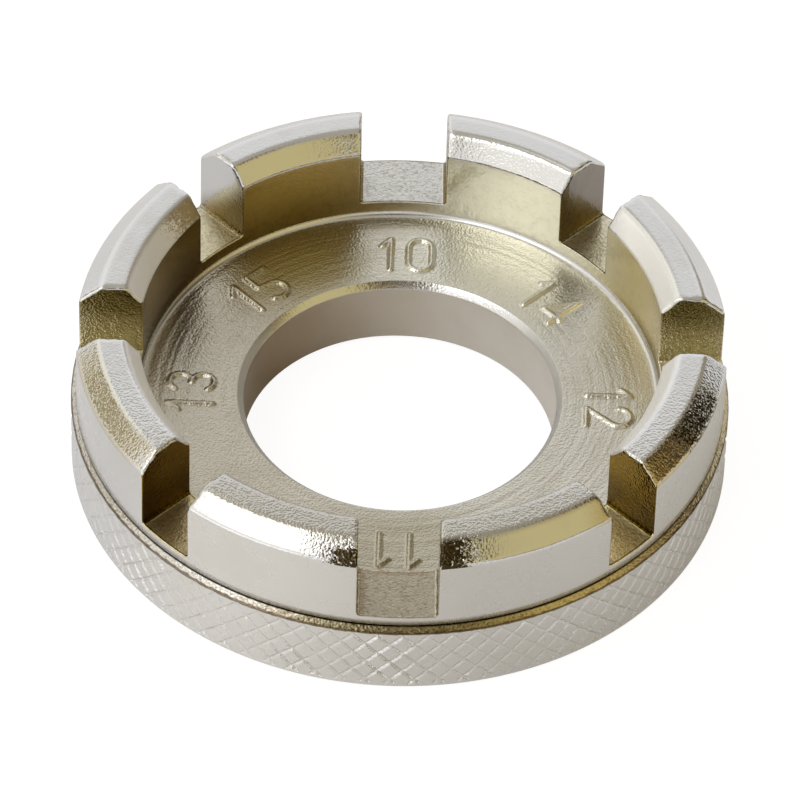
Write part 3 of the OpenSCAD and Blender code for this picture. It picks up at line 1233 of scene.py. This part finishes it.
class Coat:
    """A finish in nickel plating, with slow changes in colour and roughness. It counts in millimetres."""

    def __init__(self, name, finishes, roughness, tint=None, left_tint=None, tarnish=0.5):
        self.material, self.shader = new_material(name, {"Metallic": 1.0})
        self.tree = self.material.node_tree
        self.finishes = finishes
        self.place = place_in_mm(self.tree)
        self.x, self.y, self.z = split(self.place)
        plating = tint or finishes.plating
        if left_tint:
            plating = blend(self.x.fall(-10, 6), tint, left_tint)
        tone = add_node(
            self.tree, "ShaderNodeGroup",
            {"Plating": plating, "Tarnish": finishes.tarnish, "Size": 3.0 * MM, "Amount": tarnish},
            node_tree=shared_group("Plating tone"),
        )
        self.colour = Value(tone.outputs["Colour"])
        spread = 0.06
        dull = Value(tone.outputs["Dull"])
        self.set_roughness(dull.ramp(0.0, 1.0, roughness, roughness + spread))

    def set_roughness(self, roughness):
        """Feeds the roughness to the shader."""
        self.roughness = roughness
        feed(self.shader.inputs["Roughness"], roughness)

    def shared(self, name, output, values):
        """A value of a shared node group."""
        return value_from(
            self.tree, "ShaderNodeGroup", values, output, node_tree=shared_group(name)
        )

    def grain(self, size):
        """The height of a pebbly grain of that size."""
        return self.shared("Pebbly grain", "Height", {"Size": size * MM})

    def marks(self, across, pitch):
        """The height of a cutter's marks, a pitch apart."""
        return self.shared("Turning marks", "Height", {"Across": across, "Pitch": pitch})

    def stains(self, size, amount):
        """A mask of stains of about that size."""
        return self.shared("Stains", "Mask", {"Size": size * MM, "Amount": amount})

    def inward(self):
        """How far a place lies inside the crown's outer wall."""
        return CROWN_R / MM - from_axis(self.x, self.y)

    def near(self, spot, low, high):
        """A mask for what lies near a spot."""
        values = {0: self.place, 1: spot}
        away = value_from(self.tree, "ShaderNodeVectorMath", values, "Value", operation="DISTANCE")
        return away.fall(low, high)

    def by_slot_11(self):
        """A mask for what lies by slot 11, in front."""
        return abs(self.x).fall(3.5, 6.5) * self.y.fall(-11, -8.5)

    def dull_by_slot_11(self, plain):
        """The colour, dulled by slot 11."""
        return blend(self.by_slot_11(), plain, self.finishes.near_top, "MULTIPLY")

    def finish(self, shade, height, depth, strength=1.0):
        """Feeds the colour and a height into the shader, and returns the material."""
        feed(self.shader.inputs["Base Color"], shade)
        values = {"Height": height, "Distance": depth * MM, "Strength": strength}
        feed(self.shader.inputs["Normal"], value_from(self.tree, "ShaderNodeBump", values))
        return self.material


def speckled(mask, specks, reach, low, high, most=1.0):
    """A mask that breaks up into specks at its edge."""
    return (mask + specks * reach).rise(low, high, most) * mask.rise(0.0, 0.3)


def formed_finish(finishes):
    """Plating over the grain of the jaws' tops and bevels: dull by slot 11, with painted dark reflection by
    slot 11, painted gold reflection at the sides and painted brown reflection on the inner bevels at the
    back on the left.
    """
    coat = Coat("formed_plating", finishes, finishes.grained, tarnish=0.15)
    x = coat.x
    y = coat.y
    aside = abs(x)
    inward = coat.inward()
    below_top = CROWN_H / MM - coat.z
    on_outer = inward.fall(1.0, 1.4)
    on_inner = inward.rise(2.6, 2.9)

    top_grain = y.ramp(-13, -1, 1.0, 0.12)
    hammered = larger(aside.ramp(3.2, 6, 2.0, 0.22), aside.rise(11.8, 14, 0.85))
    outer_grain = y.ramp(-3, 1, 1.0, 0.2) * hammered
    inner_grain = y.ramp(6, 12, 0.3, 0.45)
    coarseness = mix(on_inner, mix(on_outer, top_grain, outer_grain), inner_grain)

    matt = 0.55
    at_side = aside.rise(11.2, 13.2)
    is_matt = on_inner * larger(y.fall(2, 8), at_side)
    coat.set_roughness(mix(is_matt, coat.roughness, matt))

    dull_top = y.fall(-16, -8) * below_top.fall(0.05, 0.3)
    shade = blend(dull_top, coat.colour, finishes.near_top, "MULTIPLY")
    shade = blend(is_matt * at_side, shade, finishes.bright)
    # Painted gold reflection on the outer bevels at the sides
    gold_reflection_left = x.fall(-13.5, -12, 0.4) * y.rise(-12, -10) * y.fall(-4, -1)
    gold_reflection_right = x.rise(10, 12) * y.ramp(-9, -6.5, 0.75, 0.3) * y.fall(-5, -3.5)
    shade = blend(larger(gold_reflection_left, gold_reflection_right) * on_outer, shade, finishes.painted_gold_reflection)

    # Painted dark reflection on the outer bevels, by slot 11 and farther right, breaking up into specks
    dark_reflection_right = y.rise(-10.5, -8, 0.55) * y.fall(-5.5, -4) * x.rise(10, 12)
    right_of_11 = x.fall(2.6, 5, 0.95) * x.rise(0, 1)
    left_of_11 = x.rise(-4.8, -2.9) * below_top.ramp(0.15, 0.7, 0.15, 0.85) * x.fall(-1, 0)
    dark = larger(larger(right_of_11, left_of_11) * y.fall(-12, -10), dark_reflection_right)
    specks = coat.grain(0.11)
    shade = blend(speckled(dark, specks, 1.6, 0.25, 0.6) * on_outer, shade, finishes.painted_dark_reflection)
    # Painted brown reflection on the inner bevels at the back, on the left
    brown_reflection_left = y.rise(6, 9.5, 0.85) * x.fall(-11, -9)
    brown = speckled(brown_reflection_left, specks, 1.2, 0.2, 0.7, 0.8) * on_inner
    shade = blend(brown, shade, finishes.painted_far_brown_reflection)
    return coat.finish(shade, coat.grain(0.13) * coarseness, 0.04)


def turned_finish(finishes):
    """Plating over a turned wall, with painted shade in the line over the ring."""
    coat = Coat("turned_plating", finishes, finishes.smooth, tarnish=0.3)
    over_ring = coat.z - RING_H / MM
    # Painted shade in the line of the gap over the ring
    painted_crease_shade = over_ring.fall(0.05, 0.2) * coat.inward().fall(0.6, 1.0)
    shade = blend(painted_crease_shade, coat.colour, finishes.painted_crease_shade)
    return coat.finish(shade, coat.marks(coat.z, 0.16), 0.012, 0.8)


def cavity_finish(finishes):
    """The cavity's wall, in painted reflection: gold on the right, brown on the left, darker brown farther
    left and lighter by slots 10 and 14; with stains, and darker towards its foot on the left.
    """
    coat = Coat(
        "cavity_plating", finishes, finishes.clear, finishes.painted_gold_reflection, finishes.painted_brown_reflection, 0.6
    )
    # Painted reflection: darker brown farther left, lighter by slots 10 and 14
    shade = blend(coat.x.fall(-14, -8), coat.colour, finishes.painted_far_brown_reflection)
    light_reflection_spot = (7, 13.5, 7.5)
    shade = blend(coat.near(light_reflection_spot, 4, 10), shade, finishes.painted_light_reflection)
    # Darker towards the wall's foot on the left, in the stains' colour
    over_floor = coat.z - SLOT_FLOOR / MM
    foot = coat.x.fall(-6, 3, 0.8) * over_floor.fall(-1, 3)
    stains_and_dark_foot = calculate("ADD", coat.stains(0.5, 0.12), foot, clamp=True)
    return coat.finish(blend(stains_and_dark_foot, shade, finishes.stain), coat.grain(0.16), 0.014, 0.8)


def faced_finish(finishes):
    """Plating over the web, which a cutter faced in circles, in painted reflection: lighter by slots 10 and
    14, browner by slot 15.
    """
    coat = Coat(
        "faced_plating", finishes, finishes.matt, finishes.web_plating, finishes.dull_web, 0.6
    )
    # Painted reflection: lighter by slots 10 and 14, browner by slot 15
    shade = blend(coat.y.rise(2, 10) * coat.x.rise(-4, 3), coat.colour, finishes.painted_light_web)
    brown_reflection_spot = (-6.5, 11.5, 4.5)
    shade = blend(coat.near(brown_reflection_spot, 1.5, 5.5), shade, finishes.painted_brown_web, "MULTIPLY")
    marks = coat.marks(from_axis(coat.x, coat.y), 0.12)
    return coat.finish(coat.dull_by_slot_11(shade), marks * 0.5 + coat.grain(0.13), 0.03)


def milled_finish(finishes):
    """Speckled plating over the slots' walls, in painted reflection: brown, dark high up in the side slots
    and low down in the front slots, but light on the upper, outer part of the back slots, as if mirroring
    the floor.
    """
    coat = Coat("milled_plating", finishes, finishes.clear, tarnish=0.3)
    x = coat.x
    y = coat.y
    jaw_h = (CROWN_H - SLOT_FLOOR) / MM
    # Painted reflection: darker high up in the side slots, darker low down in the front slots
    high = (coat.z - SLOT_FLOOR / MM).rise(1, jaw_h - 1)
    side = blend(high, finishes.painted_side_low, finishes.painted_side_high)
    front = blend(high, finishes.painted_front_low, finishes.painted_front_high)
    shade = blend(y.rise(-8, -5), front, side)
    # Painted reflection in the back slots: light where the upper, outer part would mirror the floor, brown
    # below it; stains and grain stay off the light part
    outside = blend(x.fall(-4, 4), finishes.painted_back_grey, coat.colour)
    lean = 0.93
    outward = coat.z + from_axis(x, y) * lean
    floor_reflection = outward.rise(21.9, 24.3)
    behind = y.rise(4, 8)
    shade = blend(behind, shade, blend(floor_reflection, finishes.painted_back_brown, outside))
    shade = blend(coat.by_slot_11(), shade, finishes.dull_web)
    beyond_floor_reflection = 1.0 - behind * floor_reflection
    shade = blend(coat.stains(0.35, 0.35) * beyond_floor_reflection, shade, finishes.stain)
    return coat.finish(shade, coat.grain(0.12) * beyond_floor_reflection, 0.045)


def floored_finish(finishes):
    """Speckled plating over the slots' floors: lighter at the back, golden in front, with a painted shadow
    along the left and inner edges of slot 11's floor.
    """
    coat = Coat(
        "floored_plating", finishes, finishes.matt, finishes.floor_plating, finishes.floor_dull
    )
    x = coat.x
    y = coat.y
    shade = blend(y.rise(13.5, 15, 0.9), coat.colour, finishes.plating)
    in_front = y.fall(-9, -6)
    front = blend(x.rise(-2, 2), finishes.front_floor, finishes.floor_right)
    shade = blend(in_front, shade, front)
    in_slot_11 = abs(x).fall(3, 5) * in_front
    shade = coat.dull_by_slot_11(blend(in_slot_11, shade, finishes.dull_web))
    # Painted shadow along the left and inner edges of slot 11's floor, ragged at its edge
    painted_shadow_edges = larger(x.fall(-2.25, -1.5, 0.75), coat.inward().rise(3.1, 3.6, 0.6))
    ragged = coat.grain(0.2).ramp(-0.5, 0.1, 0.5, 1.0)
    shade = blend(painted_shadow_edges * in_slot_11 * ragged, shade, finishes.painted_brown_shade)
    shade = blend(coat.stains(0.2, 0.45), shade, finishes.stain)
    return coat.finish(shade, coat.grain(0.12), 0.018)


def bored_finish(finishes):
    """Plating over the bore, with painted shade on the side of slot 13, standing for the shaded floor that
    it mirrors.
    """
    coat = Coat(
        "bored_plating", finishes, finishes.matt, finishes.bore_plating, finishes.painted_brown_shade, 0.4
    )
    return coat.finish(coat.colour, coat.grain(0.22), 0.012, 0.7)


def knurled_finish(finishes):
    """Plating over the knurling, with stains on the bevel over it, painted gold and dark reflection on that
    bevel, and painted shade in the grooves, at the bevel's foot and in the line by the crown.
    """
    coat = Coat("knurled_plating", finishes, finishes.smooth, tarnish=0.3)
    groove = value_from(coat.tree, "ShaderNodeAttribute", output="Fac", attribute_name="groove")
    # Painted shade in the grooves' bottoms
    shade = blend(groove.rise(0.8, 1.0, 0.08), coat.colour, finishes.painted_crease_shade)
    x = coat.x
    bevel_w = 0.3
    above = coat.z - (RING_H / MM - bevel_w)
    on_bevel = above.rise(-0.05, 0.02)
    in_front = coat.y.fall(-18.8, -16.5)
    # Painted reflection on the bevel: gold, more to the right, and dark in front; the stains there are
    # heavier in front too
    shade = blend(on_bevel * x.ramp(-12, 3, 0.15, 0.8), shade, finishes.painted_gold_reflection)
    shade = blend(on_bevel * in_front * 0.7, shade, finishes.painted_side_high)
    stains = coat.stains(0.2, in_front.ramp(0.0, 1.0, 0.6, 0.95))
    shade = blend(stains * on_bevel, shade, finishes.stain)
    # Painted shade: a ragged line at the bevel's foot, and the ring's top inside the crown
    ragged = coat.grain(0.3).ramp(-0.3, 0.3, 0.02, 0.08, "LINEAR")
    painted_bevel_foot_shade = (abs(above) - (ragged + x.fall(-8, 0, 0.02))).fall(0.0, 0.04, 0.8)
    line = larger(painted_bevel_foot_shade, coat.inward().rise(-0.05, 0.02, 0.6))
    coarseness = on_bevel.ramp(0.0, 1.0, 0.35, 0.65)
    return coat.finish(blend(line, shade, finishes.painted_crease_shade), coat.grain(0.13) * coarseness, 0.05)


# The crown's finishes, in the order of its material slots
CROWN_FINISHES = (
    formed_finish, turned_finish, cavity_finish, faced_finish, milled_finish, floored_finish, bored_finish
)


# Studio

# Windows of light and shade in the studio: degrees round from the camera's side towards +X, half width,
# degrees above the floor, half height, softness, and the light's colour
WINDOWS = (
    ("ceiling", 180, 180, 80, 34, 3, (0.48, 0.45, 0.38)),
    ("back light", 180, 60, 28, 18, 2, (1.0, 1.0, 0.995)),
    ("bright wall, back left", -138, 20, 48, 22, 8, (1.12, 1.10, 1.0)),
    ("warm wall, far left", -110, 20, 21, 11, 4, (0.37, 0.315, 0.155)),
    ("low light, far left", -112, 24, 4, 7, 3, (1.08, 1.07, 1.04)),
    ("gold wall, right", 58, 38, 34, 26, 8, (0.68, 0.58, 0.28)),
    ("dark edge, right", 20, 9, 52, 10, 4, (0.06, 0.04, 0.015)),
    ("low wall, right", 40, 32, 2, 7, 3, (0.22, 0.16, 0.07)),
    ("brown wall, right", 96, 12, 38, 32, 7, (0.24, 0.15, 0.055)),
    ("brown wall, back right", 142, 16, 34, 18, 6, (0.34, 0.29, 0.20)),
    ("dark doorway, right", 111, 13, 34, 26, 3, (0.05, 0.04, 0.022)),
    ("soft box, left", -60, 36, 32, 26, 8, (1.08, 1.05, 0.97)),
    ("soft box, low left", -54, 26, 5, 10, 5, (1.6, 1.57, 1.52)),
    ("soft box, upper left", -56, 26, 56, 14, 6, (2.7, 2.65, 2.55)),
    ("shade round the camera", 4, 22, 44, 12, 6, (0.22, 0.165, 0.07)),
    ("camera", 0, 15, 56, 9, 5, (0.015, 0.013, 0.01)),
)
SURROUND = (0.90, 0.90, 0.89)
WINDOW_INPUTS = ("Round", "Half Width", "Above", "Half Height", "Softness")


def window_group():
    """A soft-edged window of light, by its angles round and above the part, as a mask."""
    tree, given, result = new_group(
        "Light window", [(name, "Float", 0.0) for name in WINDOW_INPUTS], [("Mask", "Float")]
    )
    x, y, z = split(value_from(tree, "ShaderNodeTexCoord", output="Generated"))
    degrees = 180 / math.pi
    around = calculate("ARCTAN2", x, y * -1.0) * degrees
    above = calculate("ARCSINE", z) * degrees
    aside = calculate("WRAP", around - given["Round"], 180.0, -180.0)
    softness = given["Softness"]
    masks = [
        abs(distance).fall(half - softness, half + softness)
        for distance, half in (
            (aside, given["Half Width"]), (above - given["Above"], given["Half Height"])
        )
    ]
    feed(result["Mask"], masks[0] * masks[1])
    return tree


def make_world():
    """The studio's light, painted by direction only."""
    world = bpy.data.worlds.new("Studio")
    world.use_nodes = True
    tree = world.node_tree
    group = window_group()
    light = SURROUND
    for _, *places, tint in WINDOWS:
        values = dict(zip(WINDOW_INPUTS, places))
        mask = value_from(tree, "ShaderNodeGroup", values, node_tree=group)
        light = blend(mask, light, tint)
    feed(tree.nodes["Background"].inputs["Color"], light)
    bpy.context.scene.world = world


def floor_finish(studio):
    """A pale floor. The camera sees it evenly bright, with a faint shadow. The part's reflections see
    painted shade close by, as the part's shadow, and painted light in front on the left.
    """
    material, shader = new_material(
        "studio_floor", {"Roughness": 1.0, "Specular IOR Level": 0.0, "Emission Strength": 1.0}
    )
    tree = material.node_tree
    direct = value_from(tree, "ShaderNodeLightPath", output="Is Camera Ray")
    shade_share = 0.2
    faint = [tone * shade_share for tone in studio.floor_tone]
    x, y, _ = split(place_in_mm(tree))
    # Painted shade and light, seen only in the part's reflections
    left = blend(y.rise(-18, -6), studio.front_left_painted_light, studio.left_painted_shade)
    beside = blend(x.fall(-14, 8), studio.right_painted_shade, left)
    painted_floor_shading = blend(from_axis(x, y).fall(30, 45), studio.far_tone, beside)
    feed(shader.inputs["Base Color"], blend(direct, painted_floor_shading, faint))
    feed(shader.inputs["Emission Color"], blend(direct, (0.10, 0.10, 0.10), (0.92, 0.92, 0.92)))
    return material


def make_floor(studio):
    """A round floor under the part."""
    mesh = bpy.data.meshes.new("studio_floor")
    tool = bmesh.new()
    bmesh.ops.create_circle(tool, cap_ends=True, radius=studio.floor_r, segments=96)
    tool.to_mesh(mesh)
    tool.free()
    mesh.materials.append(floor_finish(studio))
    new_object("studio_floor", mesh)


def make_camera(studio):
    """The camera, where the picture was taken from."""
    level = math.cos(studio.elevation)
    right = Vector((math.cos(studio.azimuth), math.sin(studio.azimuth), 0))
    ahead = Vector((-right.y * level, right.x * level, -math.sin(studio.elevation)))
    up = right.cross(ahead)
    right, up = (
        math.cos(studio.roll) * right + math.sin(studio.roll) * up,
        math.cos(studio.roll) * up - math.sin(studio.roll) * right,
    )
    place = -(studio.aside * right + studio.above * up + studio.distance * ahead)
    data = bpy.data.cameras.new("camera")
    sensor_mm = 36
    data.sensor_fit = "HORIZONTAL"
    data.sensor_width = sensor_mm
    data.lens = studio.focal_px / studio.picture_px * sensor_mm
    data.clip_start = 0.01
    data.clip_end = 20
    camera = new_object("camera", data)
    turned = Matrix((right, up, -ahead)).transposed().to_4x4()
    camera.matrix_world = Matrix.Translation(place) @ turned
    bpy.context.scene.camera = camera


# Operators

class SPOKE_OT_crown(bpy.types.Operator):
    """Builds the castellated crown with its web, bore and raised numbers"""

    bl_idname = "spoke_wrench.crown"
    bl_label = "Crown"

    def execute(self, context):
        finishes = context.scene.spoke_wrench_finishes
        materials = [make(finishes) for make in CROWN_FINISHES]
        crown = make_crown(context.scene.spoke_wrench_crown, materials)
        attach(crown, "root")
        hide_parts("crown_body")
        return {"FINISHED"}


class SPOKE_OT_ring(bpy.types.Operator):
    """Builds the knurled grip ring"""

    bl_idname = "spoke_wrench.ring"
    bl_label = "Grip ring"

    def execute(self, context):
        material = knurled_finish(context.scene.spoke_wrench_finishes)
        ring = make_ring(context.scene.spoke_wrench_ring, material)
        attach(ring, "root")
        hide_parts("knurled_ring")
        return {"FINISHED"}


class SPOKE_OT_studio(bpy.types.Operator):
    """Builds the floor, the light and the camera"""

    bl_idname = "spoke_wrench.studio"
    bl_label = "Studio"

    def execute(self, context):
        studio = context.scene.spoke_wrench_studio
        make_floor(studio)
        make_world()
        make_camera(studio)
        context.scene.view_settings.view_transform = "Standard"
        return {"FINISHED"}


class SPOKE_PT_panel(bpy.types.Panel):
    """Lists the pieces that can be built, with their sizes"""

    bl_idname = "SPOKE_PT_panel"
    bl_label = "Spoke Wrench"
    bl_space_type = "VIEW_3D"
    bl_region_type = "UI"
    bl_category = "Spoke Wrench"

    def draw(self, context):
        sections = (
            ("spoke_wrench.crown", "spoke_wrench_crown"),
            ("spoke_wrench.ring", "spoke_wrench_ring"),
            ("spoke_wrench.studio", "spoke_wrench_studio"),
            (None, "spoke_wrench_finishes"),
        )
        for operator, group in sections:
            box = self.layout.box()
            if operator:
                box.operator(operator)
            settings = getattr(context.scene, group)
            for name in settings.__annotations__:
                box.prop(settings, name)


SETTINGS = {
    "spoke_wrench_crown": CrownSizes,
    "spoke_wrench_ring": RingSizes,
    "spoke_wrench_finishes": Finishes,
    "spoke_wrench_studio": StudioSizes,
}
TOOLS = (SPOKE_OT_crown, SPOKE_OT_ring, SPOKE_OT_studio, SPOKE_PT_panel)


def register():
    for name, group in SETTINGS.items():
        bpy.utils.register_class(group)
        setattr(bpy.types.Scene, name, PointerProperty(type=group))
    for tool in TOOLS:
        bpy.utils.register_class(tool)


def unregister():
    for tool in reversed(TOOLS):
        bpy.utils.unregister_class(tool)
    for name, group in SETTINGS.items():
        delattr(bpy.types.Scene, name)
        bpy.utils.unregister_class(group)


def main():
    register()
    bpy.ops.spoke_wrench.studio()
    bpy.ops.spoke_wrench.crown()
    bpy.ops.spoke_wrench.ring()


if __name__ == "__main__":
    main()
